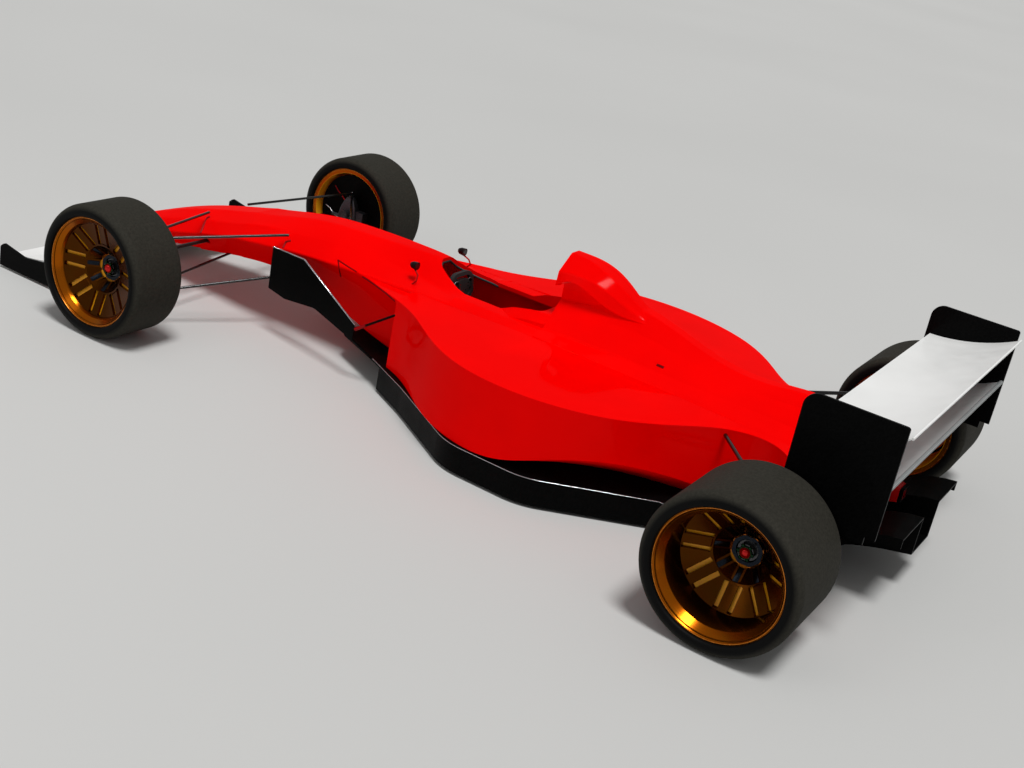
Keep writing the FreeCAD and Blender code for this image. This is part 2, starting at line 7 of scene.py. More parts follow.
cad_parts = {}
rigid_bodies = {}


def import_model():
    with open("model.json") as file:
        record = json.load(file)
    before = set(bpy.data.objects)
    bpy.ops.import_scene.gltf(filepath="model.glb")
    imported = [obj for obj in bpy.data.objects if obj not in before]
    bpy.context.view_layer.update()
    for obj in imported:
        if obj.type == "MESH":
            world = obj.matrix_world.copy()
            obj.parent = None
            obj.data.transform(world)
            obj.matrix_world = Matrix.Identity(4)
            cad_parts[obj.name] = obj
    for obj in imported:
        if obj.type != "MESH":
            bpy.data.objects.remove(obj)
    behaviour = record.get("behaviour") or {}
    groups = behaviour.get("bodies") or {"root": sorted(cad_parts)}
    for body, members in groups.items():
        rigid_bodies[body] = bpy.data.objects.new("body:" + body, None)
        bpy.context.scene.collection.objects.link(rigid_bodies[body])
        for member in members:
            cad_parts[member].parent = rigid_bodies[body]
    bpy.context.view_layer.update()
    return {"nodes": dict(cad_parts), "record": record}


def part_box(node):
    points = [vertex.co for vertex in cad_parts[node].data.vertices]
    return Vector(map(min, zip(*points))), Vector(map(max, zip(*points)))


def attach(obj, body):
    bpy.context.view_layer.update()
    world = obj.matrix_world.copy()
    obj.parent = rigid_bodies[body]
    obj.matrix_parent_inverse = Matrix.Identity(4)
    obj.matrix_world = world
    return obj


# Open wheel racing car, dressed over its CAD frame. Metres, nose towards -Y, +X is the car's left.
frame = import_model()
nodes = frame["nodes"]
scene = bpy.context.scene
print("frame loaded,", len(nodes), "nodes")


# camera
cameraView = {"place": (5.7251, 3.3683, 2.8224), "azimuth": 118.198, "elevation": 22.577,
              "roll": 11.2545, "lens": 49.63, "farthest": 200}


def makeCamera():
    azimuth, elevation, roll = (math.radians(cameraView[key]) for key in ("azimuth", "elevation", "roll"))
    back = Vector((math.sin(azimuth) * math.cos(elevation),
                   -math.cos(azimuth) * math.cos(elevation), math.sin(elevation)))
    level = (-back).cross(Vector((0, 0, 1))).normalized()
    upright = level.cross(-back)
    across = level * math.cos(roll) + upright * math.sin(roll)
    upright = upright * math.cos(roll) - level * math.sin(roll)
    data = bpy.data.cameras.new("camera")
    data.lens = cameraView["lens"]
    data.clip_end = cameraView["farthest"]
    camera = bpy.data.objects.new("camera", data)
    scene.collection.objects.link(camera)
    turn = Matrix((across, upright, back)).transposed().to_4x4()
    camera.matrix_world = Matrix.Translation(cameraView["place"]) @ turn
    scene.camera = camera


makeCamera()
scene.view_settings.view_transform = "Standard"
print("camera placed")


# helpers
def linear(hexCode):
    # sRGB to linear, by the standard's own curve
    parts = [int(hexCode[i:i + 2], 16) / 255 for i in (1, 3, 5)]
    return tuple(p / 12.92 if p <= 0.04045 else ((p + 0.055) / 1.055) ** 2.4 for p in parts) + (1.0,)


def addNode(tree, kind, inputs=None, stops=None, **settings):
    # an input takes another node's output, or a value of its own
    node = tree.nodes.new(kind)
    for key, value in settings.items():
        setattr(node, key, value)
    for key, value in (inputs or {}).items():
        if isinstance(value, bpy.types.NodeSocket):
            tree.links.new(value, node.inputs[key])
        else:
            node.inputs[key].default_value = value
    if stops:
        ramp = node.color_ramp
        while len(ramp.elements) < len(stops):
            ramp.elements.new(1.0)
        for element, (position, colour) in zip(ramp.elements, stops):
            element.position = position
            element.color = colour
    return node.outputs


noiseSpan = (0.3, 0.7)  # most of a noise pattern's values lie between these


def addNoise(tree, vector, size, detail, roughness=0.5):
    # cloudy marks, each about as large as size
    return addNode(tree, "ShaderNodeTexNoise", {
        "Vector": vector, "Scale": 1 / size, "Detail": detail, "Roughness": roughness})


def addTones(tree, amount, dark, light, span=noiseSpan):
    # the dark colour passes into the light one as the amount goes through the span
    return addNode(tree, "ShaderNodeValToRGB", {"Fac": amount}, [
        (span[0], linear(dark)), (span[1], linear(light))])["Color"]


def addMix(tree, factor, first, second, blend="MIX"):
    return addNode(tree, "ShaderNodeMix", {"Factor": factor, 6: first, 7: second}, data_type="RGBA",
                   blend_type=blend)[2]


def addRange(tree, amount, start, end, low=0.0, high=1.0):
    # low up to the start, high from the end on
    return addNode(tree, "ShaderNodeMapRange", {
        "Value": amount, "From Min": start, "From Max": end, "To Min": low, "To Max": high})["Result"]


def addMath(tree, operation, *inputs):
    return addNode(tree, "ShaderNodeMath", dict(enumerate(inputs)), operation=operation)["Value"]


def startMaterial(name, **sockets):
    material = bpy.data.materials.new(name)
    material.use_nodes = True
    tree = material.node_tree
    shader = tree.nodes["Principled BSDF"]
    for key, value in sockets.items():
        shader.inputs[key.replace("_", " ")].default_value = value
    return material, tree, shader, addNode(tree, "ShaderNodeTexCoord")["Object"]


def finishSurface(tree, shader, colour, marks, roughness, relief, depth, strength, span=(0.0, 1.0)):
    # marks take the roughness from its first value to its second, relief stands up by the depth
    rough = addRange(tree, marks, *span, *roughness)
    bump = addNode(tree, "ShaderNodeBump", {"Height": relief, "Strength": strength, "Distance": depth})
    for name, source in {"Base Color": colour, "Roughness": rough, "Normal": bump["Normal"]}.items():
        tree.links.new(source, shader.inputs[name])


# finishes
def makePaint(look):
    material, tree, shader, place = startMaterial(
        look["name"], Specular_IOR_Level=look["shine"], Coat_Weight=look["coat"], Coat_Roughness=0.06)
    drift = addNoise(tree, place, look["drift"], detail=3.0)["Fac"]
    colour = addTones(tree, drift, look["deep"], look["colour"], span=(0.38, 0.62))
    haze = addNoise(tree, place, look["haze"], detail=5.0)["Fac"]
    peel = addNoise(tree, place, look["peel"], detail=1.0)["Fac"]
    finishSurface(tree, shader, colour, haze, look["roughness"], peel, look["peelDepth"], strength=0.25,
                  span=noiseSpan)
    return material


# two-pack polyurethane, sprayed and flatted: a deep clean red with a wet shine and faint orange peel
redPaint = makePaint({"name": "redPolyurethaneSprayed", "colour": "#ff0000", "deep": "#f80000",
                      "coat": 0.06, "shine": 0.0, "drift": 0.45, "haze": 0.08, "roughness": (0.3, 0.4),
                      "peel": 0.012, "peelDepth": 0.0001})
# the same paint on the wings, white and a little flatter so that their cambers read
whitePaint = makePaint({"name": "whitePolyurethaneSprayed", "colour": "#f8f8f6", "deep": "#f0f0ee",
                        "coat": 0.1, "shine": 0.4, "drift": 0.5, "haze": 0.08, "roughness": (0.3, 0.45),
                        "peel": 0.012, "peelDepth": 0.0003})
# the white paint darkened to grey on the lower rear plane: painted shade of the upper plane above it
shadedWhitePaint = makePaint({"name": "greyPrimerSprayed", "colour": "#bec1c1", "deep": "#b4b7b7",
                       "coat": 0.1, "shine": 0.4, "drift": 0.3, "haze": 0.06, "roughness": (0.3, 0.45),
                       "peel": 0.012, "peelDepth": 0.0003})
# the white paint darkened further to grey, flatted back, on the bar along that plane's trailing edge:
# painted shade
shadedBarPaint = makePaint({"name": "greyPrimerFlatted", "colour": "#8c8f8f", "deep": "#828585",
                      "coat": 0.05, "shine": 0.2, "drift": 0.3, "haze": 0.06, "roughness": (0.4, 0.5),
                      "peel": 0.012, "peelDepth": 0.0002})
# deep red enamel of the dark red lines under the upper arms and of the stays' sleeves
redEnamel = makePaint({"name": "redEnamelBaked", "colour": "#b00008", "deep": "#980006",
                       "coat": 0.05, "shine": 0.1, "drift": 0.1, "haze": 0.03, "roughness": (0.3, 0.45),
                       "peel": 0.006, "peelDepth": 0.0001})
# the body's paint darkened to a dull deep red: painted shade, for the dark lines under the inlet lips and
# the dark patch on the engine cover
gapShadePaint = makePaint({"name": "redPaintPaintedGapShade", "colour": "#6c0003", "deep": "#560002",
                       "coat": 0.0, "shine": 0.05, "drift": 0.1, "haze": 0.03, "roughness": (0.5, 0.6),
                       "peel": 0.006, "peelDepth": 0.0001})
# red paint over a cast case: the body's colour a little deeper, with the cast skin showing through
tailPaint = makePaint({"name": "redPaintOverCasting", "colour": "#d80000", "deep": "#b40000",
                       "coat": 0.1, "shine": 0.2, "drift": 0.12, "haze": 0.03,
                       "roughness": (0.35, 0.55), "peel": 0.006, "peelDepth": 0.001})


def makeCarbon(look):
    material, tree, shader, place = startMaterial(
        look["name"], IOR=1.5, Specular_IOR_Level=look["shine"], Coat_Weight=look["coat"],
        Coat_Roughness=0.05)
    # the panels stand along different axes, so the cloth is laid at 45 degrees over a lean of all three
    apart = addNode(tree, "ShaderNodeSeparateXYZ", {"Vector": place})
    rise = addMath(tree, "MULTIPLY", apart["Z"], look["rise"])
    lean = addMath(tree, "ADD", apart["X"], rise)
    warp = addMath(tree, "ADD", lean, apart["Y"])
    weft = addMath(tree, "SUBTRACT", lean, apart["Y"])
    laid = addNode(tree, "ShaderNodeCombineXYZ", {"X": warp, "Y": weft})["Vector"]
    twill = addNode(tree, "ShaderNodeTexBrick", {
        "Vector": laid, "Scale": 1.0, "Brick Width": look["tow"] * 2, "Row Height": look["tow"],
        "Mortar Size": look["tow"] * look["gap"], "Mortar Smooth": 0.5,
        "Color1": linear(look["colour"]), "Color2": linear(look["light"]),
        "Mortar": linear(look["resin"])}, offset=0.5)
    haze = addNoise(tree, place, look["haze"], detail=4.0)["Fac"]
    finishSurface(tree, shader, twill["Color"], haze, look["roughness"], twill["Fac"],
                  -look["gapDepth"], strength=0.3, span=noiseSpan)
    return material


# what both carbon finishes share: how much of the height the lean takes in, the tows and their gaps
weave = {"rise": 0.7, "tow": 0.005, "gap": 0.08, "gapDepth": 0.0002}
# 2 mm tows in a twill under black lacquer; drawn at 5 mm, since 2 mm would not show
carbonPanel = makeCarbon({**weave, "name": "carbonTwillLacquered", "colour": "#030303",
                          "light": "#0a0a0a", "resin": "#010101", "haze": 0.1,
                          "roughness": (0.34, 0.46), "shine": 0.03, "coat": 0.01})
# bare cured shell of the seat, from the same cloth with no lacquer
seatShell = makeCarbon({**weave, "name": "carbonTwillBare", "colour": "#141414", "light": "#1e1e1e",
                        "resin": "#0c0c0c", "haze": 0.06, "roughness": (0.5, 0.65), "shine": 0.3,
                        "coat": 0.0})


def radiusFrom(tree, place, axleY, axleZ):
    # how far a point lies from the axle
    flat = addNode(tree, "ShaderNodeMapping", {
        "Vector": place, "Location": (0, -axleY, -axleZ), "Scale": (0, 1, 1)})["Vector"]
    return addNode(tree, "ShaderNodeVectorMath", {0: flat}, operation="LENGTH")["Value"]


def makeRubber(look, axleY, axleZ):
    material, tree, shader, place = startMaterial(look["name"], IOR=1.5, Specular_IOR_Level=0.08)
    radius = radiusFrom(tree, place, axleY, axleZ)
    scuff = addNoise(tree, place, look["scuff"], detail=6.0, roughness=0.7)["Fac"]
    tread = addTones(tree, scuff, look["tread"], look["worn"])
    onTread = addRange(tree, radius, look["shoulder"] - look["fade"], look["shoulder"])
    colour = addMix(tree, onTread, linear(look["side"]), tread)
    grain = addNoise(tree, place, look["grain"], detail=3.0)["Fac"]
    finishSurface(tree, shader, colour, onTread, look["roughness"], grain, look["grainDepth"],
                  strength=0.5)
    return material


# vulcanised rubber: a moulded smooth side and a tread scrubbed to a dull warm grey
rubber = {"tread": "#282722", "worn": "#37352f", "side": "#080808", "scuff": 0.012, "grain": 0.005,
          "grainDepth": 0.0012, "roughness": (0.55, 0.8), "shoulder": 0.318, "fade": 0.02}


def colourRim(tree, look, end, place, radius):
    # rings of colour round the axle
    rings = addNode(tree, "ShaderNodeValToRGB", {"Fac": radius}, [
        (0.0, linear(look["ring"])), (look["ringRadius"], linear(look["ring"])),
        (look["ringRadius"] + look["join"], linear(look["disc"])),
        (look["discRadius"], linear(look["disc"])),
        (look["discRadius"] + look["join"], linear(look["band"]))])["Color"]
    # the barrel behind the disc, seen through the slots, is painted bright orange gold: painted light where
    # it lies in shade
    across = addNode(tree, "ShaderNodeSeparateXYZ", {"Vector": place})["X"]
    reach = addMath(tree, "ABSOLUTE", across)
    behind = addMath(tree, "LESS_THAN", reach, look["discBack"][end])
    onWall = addMath(tree, "COMPARE", radius, look["barrelRadius"], look["barrelDeep"])
    onBarrel = addMath(tree, "MULTIPLY", behind, onWall)
    paintedBarrelLight = addMix(tree, onBarrel, rings, linear(look["barrel"]))
    # the back of the disc, facing the car, is painted near black: painted shade on the side turned towards
    # the car
    normal = addNode(tree, "ShaderNodeNewGeometry")["Normal"]
    facing = addNode(tree, "ShaderNodeSeparateXYZ", {"Vector": normal})["X"]
    side = addMath(tree, "SIGN", across)
    outward = addMath(tree, "MULTIPLY", facing, side)
    inward = addMath(tree, "LESS_THAN", outward, look["backTurn"])
    within = addMath(tree, "LESS_THAN", radius, look["barrelRadius"])
    onShadedBack = addMath(tree, "MULTIPLY", inward, within)
    return addMix(tree, onShadedBack, paintedBarrelLight, linear(look["back"])), onBarrel


def makeAnodised(look, end, axleY, axleZ):
    material, tree, shader, place = startMaterial(look["name"], Specular_IOR_Level=0.15)
    radius = radiusFrom(tree, place, axleY, axleZ)
    colour, onBarrel = colourRim(tree, look, end, place, radius)
    sheen = addRange(tree, onBarrel, 0, 1, look["metallic"], look["barrelMetallic"])
    tree.links.new(sheen, shader.inputs["Metallic"])
    drift = addNoise(tree, place, look["drift"], detail=3.0)["Color"]
    tint = addMix(tree, look["tintAmount"], colour, drift, "SOFT_LIGHT")
    # lathe marks run round the axle
    along = addNode(tree, "ShaderNodeCombineXYZ", {"X": radius})["Vector"]
    lathe = addNoise(tree, along, look["lathe"], detail=2.0)["Fac"]
    finishSurface(tree, shader, tint, lathe, look["roughness"], lathe, look["latheDepth"],
                  strength=0.3, span=noiseSpan)
    return material


# forged alloy, turned and anodised: orange gold on the rim, smoked bronze on the disc, bright gold in the
# barrel as painted light and near black on the disc's back as painted shade
goldAlloy = {"ring": "#b0741a", "ringRadius": 0.0685, "disc": "#4a2502", "discRadius": 0.2325,
             "band": "#a05408", "join": 0.001, "barrel": "#ffb020", "barrelRadius": 0.239,
             "barrelDeep": 0.0065, "back": "#0e1010", "backTurn": -0.2,
             "discBack": {"front": 1.084, "rear": 1.107}, "metallic": 0.92, "barrelMetallic": 0.1,
             "drift": 0.05, "tintAmount": 0.2, "lathe": 0.004, "latheDepth": 0.0001,
             "roughness": (0.16, 0.24)}


# what most of the grained finishes share: bare metal with fine, even marks
grained = {"metallic": 1.0, "grain": 0.01, "stretch": (1, 1, 1), "depth": 0.0001}


def makeGrained(own):
    # one tone drifting to a darker one, in marks that may be drawn out along an axis
    look = {**grained, **own}
    material, tree, shader, place = startMaterial(look["name"], Metallic=look["metallic"])
    drawn = addNode(tree, "ShaderNodeMapping", {"Vector": place, "Scale": look["stretch"]})["Vector"]
    marks = addNoise(tree, drawn, look["grain"], detail=4.0)["Fac"]
    colour = addTones(tree, marks, look["dark"], look["colour"])
    finishSurface(tree, shader, colour, marks, look["roughness"], marks, look["depth"], strength=0.4,
                  span=noiseSpan)
    return material


# ground steel disc and hub: mid grey with fine turned marks
brakeSteel = makeGrained({"name": "steelTurned", "colour": "#6a6a6c", "dark": "#3c3c3e", "grain": 0.006,
                          "stretch": (4, 1, 1), "roughness": (0.3, 0.45), "depth": 0.0003})
# milled alloy uprights: satin grey
uprightAlloy = makeGrained({"name": "aluminiumMilled", "colour": "#5c5d61", "dark": "#404145",
                            "grain": 0.008, "stretch": (1, 1, 3), "roughness": (0.32, 0.5),
                            "depth": 0.0003})
# sand cast alloy: dull and pebbled
castAlloy = makeGrained({"name": "aluminiumSandCast", "colour": "#77777a", "dark": "#5a5a5c",
                         "grain": 0.004, "roughness": (0.5, 0.7), "depth": 0.001})
# ground drive shafts: pale grey with marks round them
shaftSteel = makeGrained({"name": "steelGround", "colour": "#7d7d80", "dark": "#58585a", "grain": 0.003,
                          "stretch": (6, 1, 1), "roughness": (0.22, 0.36), "depth": 0.0002})
# streamlined steel tube under black enamel: nearly black with thin bright lines of shine
rodEnamel = makeGrained({"name": "steelTubeBlackEnamel", "metallic": 0.0, "colour": "#0b0b0b",
                         "dark": "#060606", "grain": 0.02, "stretch": (0.3, 1, 1),
                         "roughness": (0.12, 0.2)})
# moulded rubbery grip: matt black with a fine pebble
gripMoulded = makeGrained({"name": "thermoplasticMoulded", "metallic": 0.0, "colour": "#151515",
                           "dark": "#0a0a0a", "grain": 0.003, "roughness": (0.5, 0.65),
                           "depth": 0.0008})
# black anodised nut and fittings: a blue-grey tint all over, a painted cool sheen
blackAnodisedAndBlueSheen = makeGrained({"name": "aluminiumBlackAnodisedAndPaintedSheen", "colour": "#262b33", "dark": "#14171c",
                             "grain": 0.004, "roughness": (0.16, 0.26), "depth": 0.0002})
# the wheel nuts' dark green tint all over: a painted green glint on black anodising; the green switches
# share it
greenAnodisedAndGlint = makeGrained({"name": "aluminiumGreenAnodisedAndPaintedGlint", "colour": "#1c3a24", "dark": "#0c160f",
                             "grain": 0.004, "roughness": (0.14, 0.24), "depth": 0.0002})
# bright gold of the rims' thin lips
lipGold = makeGrained({"name": "aluminiumGoldPolished", "metallic": 0.7, "colour": "#e0862a",
                       "dark": "#c06c1a", "roughness": (0.2, 0.3)})
# bright gold sheet behind the rims' slots, a painted highlight where the slots show bright: mostly diffuse,
# so that it lights up from the open sky
slotHighlightFoil = makeGrained({"name": "aluminiumGoldPaintedHighlight", "metallic": 0.2, "colour": "#ffb80c",
                        "dark": "#ffa008", "roughness": (0.3, 0.45)})
# polished bare alloy of edge beads and bezels; its beads along the floor and barge board edges and its
# strips on the steering wheel are painted highlight lines
brightAlloyAndHighlight = makeGrained({"name": "aluminiumPolishedAndPaintedHighlight", "colour": "#d9d9dc", "dark": "#b4b4b8",
                         "roughness": (0.12, 0.22)})
# red anodised cap of the wheel nuts, polished so that it looks wet
redCap = makeGrained({"name": "aluminiumRedAnodised", "metallic": 0.6, "colour": "#e01010",
                      "dark": "#b40808", "roughness": (0.08, 0.14)})
# woven nylon webbing: dull red, ribbed along its length
webbingNylon = makeGrained({"name": "nylonWebbingWoven", "metallic": 0.0, "colour": "#7e0c10",
                            "dark": "#5e080c", "grain": 0.003, "stretch": (1, 0.3, 0.3),
                            "roughness": (0.7, 0.85), "depth": 0.0004})
# smoked mirror glass with a faint haze
mirrorGlass = makeGrained({"name": "glassSmoked", "metallic": 0.3, "colour": "#1c1e20",
                           "dark": "#141618", "grain": 0.03, "roughness": (0.03, 0.08),
                           "depth": 0.00001})


def makeFins(look):
    material, tree, shader, place = startMaterial(look["name"], Metallic=1.0)
    turned = addNode(tree, "ShaderNodeMapping", {
        "Vector": place, "Rotation": (math.pi / 2, 0, 0)})["Vector"]
    # the mortar colour paints the gaps between the fins near black: painted shade
    fins = addNode(tree, "ShaderNodeTexBrick", {
        "Vector": turned, "Scale": 1.0, "Brick Width": look["tube"], "Row Height": look["pitch"],
        "Mortar Size": look["pitch"] * look["gapShare"], "Color1": linear(look["colour"]),
        "Color2": linear(look["light"]), "Mortar": linear(look["gap"])})
    finishSurface(tree, shader, fins["Color"], fins["Fac"], look["roughness"], fins["Fac"],
                  -look["gapDepth"], strength=0.6)
    return material


# brazed core: thin dull fins between flat tubes, with the gaps painted near black as painted shade
radiatorCore = makeFins({"name": "aluminiumFinnedCore", "colour": "#4c4c4e", "light": "#5c5c5e",
                         "gap": "#0a0a0a", "pitch": 0.006, "tube": 0.03, "gapShare": 0.2,
                         "roughness": (0.35, 0.7), "gapDepth": 0.002})


def makeMirrorFinish(look):
    material, tree, shader, place = startMaterial(look["name"], Specular_IOR_Level=0.15)
    height = addNode(tree, "ShaderNodeSeparateXYZ", {"Vector": place})["Z"]
    grain = addNoise(tree, place, look["grain"], detail=4.0)["Fac"]
    onHead = addRange(tree, height, look["join"] - look["fade"], look["join"])
    dark = addTones(tree, grain, look["head"], look["headWorn"], span=(0.35, 0.65))
    colour = addMix(tree, onHead, linear(look["stalk"]), dark)
    finishSurface(tree, shader, colour, grain, look["roughness"], grain, look["grainDepth"],
                  strength=0.4)
    return material


# black moulded head on a red enamelled stalk, which join 40 mm below the head's top
mirrorFinish = makeMirrorFinish({"name": "enamelRedAndBlackMoulding", "head": "#060203",
                                 "headWorn": "#160406", "stalk": "#a80000",
                                 "join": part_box("mirrors")[1].z - 0.04, "fade": 0.001, "grain": 0.004,
                                 "grainDepth": 0.0004, "roughness": (0.25, 0.45)})


def makeLens(look):
    material, tree, shader, place = startMaterial(look["name"], IOR=1.49, Specular_IOR_Level=0.3)
    ribs = addNode(tree, "ShaderNodeTexWave", {"Vector": place, "Scale": look["perMetre"]},
                   wave_type="BANDS", bands_direction="Z")["Fac"]
    colour = addTones(tree, ribs, look["dark"], look["colour"], span=(0.2, 0.8))
    finishSurface(tree, shader, colour, ribs, look["roughness"], ribs, look["ribDepth"], strength=0.6)
    return material


# moulded acrylic lens: ruby red with ribs inside
lampLens = makeLens({"name": "acrylicRedMoulded", "colour": "#7c0006", "dark": "#3c0003",
                     "perMetre": 60, "roughness": (0.08, 0.2), "ribDepth": 0.0006})

wheelCentre = {}
for end in ("front", "rear"):
    low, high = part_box("tyre_" + end + "_left")
    wheelCentre[end] = ((low.y + high.y) / 2, (low.z + high.z) / 2)
tyreRubber = {end: makeRubber(dict(rubber, name="rubberSlick" + end.capitalize()), *centre)
              for end, centre in wheelCentre.items()}
rimGold = {end: makeAnodised(dict(goldAlloy, name="aluminiumGoldAnodised" + end.capitalize()), end, *centre)
           for end, centre in wheelCentre.items()}

finishes = {
    "red_paint": redPaint, "white_paint": whitePaint, "carbon": carbonPanel, "brake_steel": brakeSteel,
    "upright_alloy": uprightAlloy, "cast_alloy": castAlloy, "tail_paint": tailPaint,
    "radiator_alloy": radiatorCore, "lamp_red": lampLens, "grip_black": gripMoulded,
    "seat_shell": seatShell, "shaft_steel": shaftSteel, "rod_black": rodEnamel}
slotOf = {part["node"]: part["material_slot"] for part in frame["record"]["subparts"]}
# the lower rear plane takes the grey copy of the white paint, its painted shade
ownFinish = {"mirrors": mirrorFinish, "rear_wing_lower_plane": shadedWhitePaint}


def finishNodes():
    for name, item in nodes.items():
        end = "front" if "front" in name else "rear"
        if name.startswith("tyre"):
            material = tyreRubber[end]
        elif name.startswith("rim"):
            material = rimGold[end]
        else:
            material = ownFinish.get(name) or finishes[slotOf[name]]
        item.data.materials.clear()
        item.data.materials.append(material)


finishNodes()
print("finishes set on", len(nodes), "nodes")


# pieces
sides = {"left": 1, "right": -1}
nutSteps, hubSteps, rimSteps = 36, 64, 96  # flats round a turned piece, by its size
sharpAngle = 35  # degrees: where faces meet at more than this, the edge stays crisp


def finishPiece(mesh, name, material, body):
    data = bpy.data.meshes.new(name)
    bmesh.ops.remove_doubles(mesh, verts=mesh.verts, dist=1e-6)
    bmesh.ops.recalc_face_normals(mesh, faces=mesh.faces)
    mesh.to_mesh(data)
    mesh.free()
    data.shade_smooth()
    data.set_sharp_from_angle(angle=math.radians(sharpAngle))
    piece = bpy.data.objects.new(name, data)
    scene.collection.objects.link(piece)
    data.materials.append(material)
    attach(piece, body)


def addRing(mesh, centre, radius, thick, x, steps, around=8):
    # a round bead swept about a line along X
    made = bmesh.ops.create_circle(mesh, segments=around, radius=thick)
    turn = Matrix.Rotation(math.pi / 2, 3, "Y") @ Matrix.Rotation(math.pi / 2, 3, "X")
    bmesh.ops.rotate(mesh, verts=made["verts"], cent=(0, 0, 0), matrix=turn)
    bmesh.ops.translate(mesh, verts=made["verts"], vec=Vector((x, 0, radius)) + centre)
    edges = list({edge for vert in made["verts"] for edge in vert.link_edges})
    bmesh.ops.spin(mesh, geom=edges, cent=centre, axis=(1, 0, 0), angle=2 * math.pi, steps=steps,
                   use_merge=True)


def addTurned(mesh, centre, outline, steps):
    # an outline of (x, radius) swept about a line along X
    verts = [mesh.verts.new(centre + Vector((x, 0, radius))) for x, radius in outline]
    edges = [mesh.edges.new(pair) for pair in zip(verts, verts[1:])]
    bmesh.ops.spin(mesh, geom=verts + edges, cent=centre, axis=(1, 0, 0), angle=2 * math.pi, steps=steps,
                   use_merge=True)


def addBlock(mesh, size, centre, bevel, turn=Matrix.Identity(3)):
    # a block with rounded edges
    made = bmesh.ops.create_cube(mesh, size=1.0)
    bmesh.ops.scale(mesh, verts=made["verts"], vec=size)
    edges = list({edge for vert in made["verts"] for edge in vert.link_edges})
    made = bmesh.ops.bevel(mesh, geom=edges, offset=bevel, affect="EDGES", segments=2, profile=0.5,
                           material=-1, offset_type="OFFSET")
    verts = list({vert for face in made["faces"] for vert in face.verts})
    bmesh.ops.rotate(mesh, verts=verts, cent=(0, 0, 0), matrix=turn)
    bmesh.ops.translate(mesh, verts=verts, vec=centre)


def addStub(mesh, base, top, tall, centre, segments, turn=Matrix.Identity(3), squeeze=(1, 1, 1)):
    # a short capped cone from radius base to radius top, along turn's z
    made = bmesh.ops.create_cone(mesh, cap_ends=True, segments=segments, radius1=base, radius2=top,
                                 depth=tall)
    bmesh.ops.scale(mesh, verts=made["verts"], vec=squeeze)
    bmesh.ops.rotate(mesh, verts=made["verts"], cent=(0, 0, 0), matrix=turn)
    bmesh.ops.translate(mesh, verts=made["verts"], vec=centre)


def wheelPlan(end, side):
    # where a wheel's pieces go: its axle, its outer and inner faces and the face of its nut
    tag = end + "_" + side
    outward = 1 if side == "left" else 0
    hub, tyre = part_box("hub_" + tag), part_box("tyre_" + tag)
    return {"end": end, "tag": tag, "body": "wheel_" + tag, "sign": sides[side],
            "axle": Vector((0, *wheelCentre[end])), "radius": wheelCentre[end][1],
            "nut": hub[outward].x, "outer": tyre[outward].x, "inner": tyre[1 - outward].x}


# the hub's ring stands this far in from the face of the nut
hubDeep = 0.026
wheelCap = {"radius": 0.024, "squeeze": (0.8, 1, 1)}


def makeCap(wheel):
    cap = bmesh.new()
    made = bmesh.ops.create_uvsphere(cap, u_segments=28, v_segments=16, radius=wheelCap["radius"])
    bmesh.ops.scale(cap, verts=made["verts"], vec=wheelCap["squeeze"])
    bmesh.ops.translate(cap, verts=made["verts"], vec=wheel["axle"] + Vector((wheel["nut"], 0, 0)))
    finishPiece(cap, "wheel_cap_" + wheel["tag"], redCap, wheel["body"])


nutCrown = {"outline": [(-0.004, 0.02), (0.006, 0.022), (0.006, 0.027), (-0.004, 0.031)], "lugs": 6,
            "lugSize": (0.016, 0.014, 0.012), "lugRadius": 0.03, "lugReach": 0.001, "bevel": 0.002}


def makeNutCrown(wheel):
    nut = bmesh.new()
    sign, axle = wheel["sign"], wheel["axle"]
    addTurned(nut, axle, [(wheel["nut"] + sign * x, radius) for x, radius in nutCrown["outline"]],
              nutSteps)
    lugX = Vector((wheel["nut"] + sign * nutCrown["lugReach"], 0, 0))
    for i in range(nutCrown["lugs"]):
        turn = Matrix.Rotation(2 * math.pi * (i + 0.5) / nutCrown["lugs"], 3, "X")
        addBlock(nut, nutCrown["lugSize"], axle + lugX + turn @ Vector((0, 0, nutCrown["lugRadius"])),
                 nutCrown["bevel"], turn)
    finishPiece(nut, "wheel_nut_crown_" + wheel["tag"], greenAnodisedAndGlint, wheel["body"])


# black collar inside the hub ring, with a pad along each raised spoke of the disc's funnel
wheelCollar = {"outline": [(-0.002, 0.0405), (0.0095, 0.047), (0.0105, 0.0625), (0.0105, 0.066),
                           (0.004, 0.0685)],
               "spokes": 8, "padSize": (0.003, 0.022, 0.062), "padRadius": 0.094, "padReach": 0.009,
               "funnel": {"front": (0.062, 0.07), "rear": (0.057, 0.07)}, "funnelRadius": 0.058,
               "bevel": 0.0012}


def makeCollar(wheel):
    collar = bmesh.new()
    sign, axle, settings = wheel["sign"], wheel["axle"], wheelCollar
    hubX = wheel["nut"] - sign * hubDeep
    addTurned(collar, axle, [(hubX + sign * x, radius) for x, radius in settings["outline"]], hubSteps)
    rise, run = settings["funnel"][wheel["end"]]
    lean = Matrix.Rotation(sign * math.atan2(rise, run), 3, "Y")
    reach = settings["padReach"] + (settings["padRadius"] - settings["funnelRadius"]) * rise / run
    middle = Vector((hubX + sign * reach, 0, settings["padRadius"]))
    for i in range(settings["spokes"]):
        turn = Matrix.Rotation(2 * math.pi * i / settings["spokes"], 3, "X")
        addBlock(collar, settings["padSize"], axle + turn @ middle, settings["bevel"], turn @ lean)
    finishPiece(collar, "wheel_collar_" + wheel["tag"], blackAnodisedAndBlueSheen, wheel["body"])


# a bead round the hub ring and one on each lip of the rim
rimBeads = {"ringRadius": 0.0665, "ringThick": 0.0026, "ringReach": 0.0095,
            "lipRadius": 0.2655, "lipThick": 0.0022, "lipDeep": 0.0185}


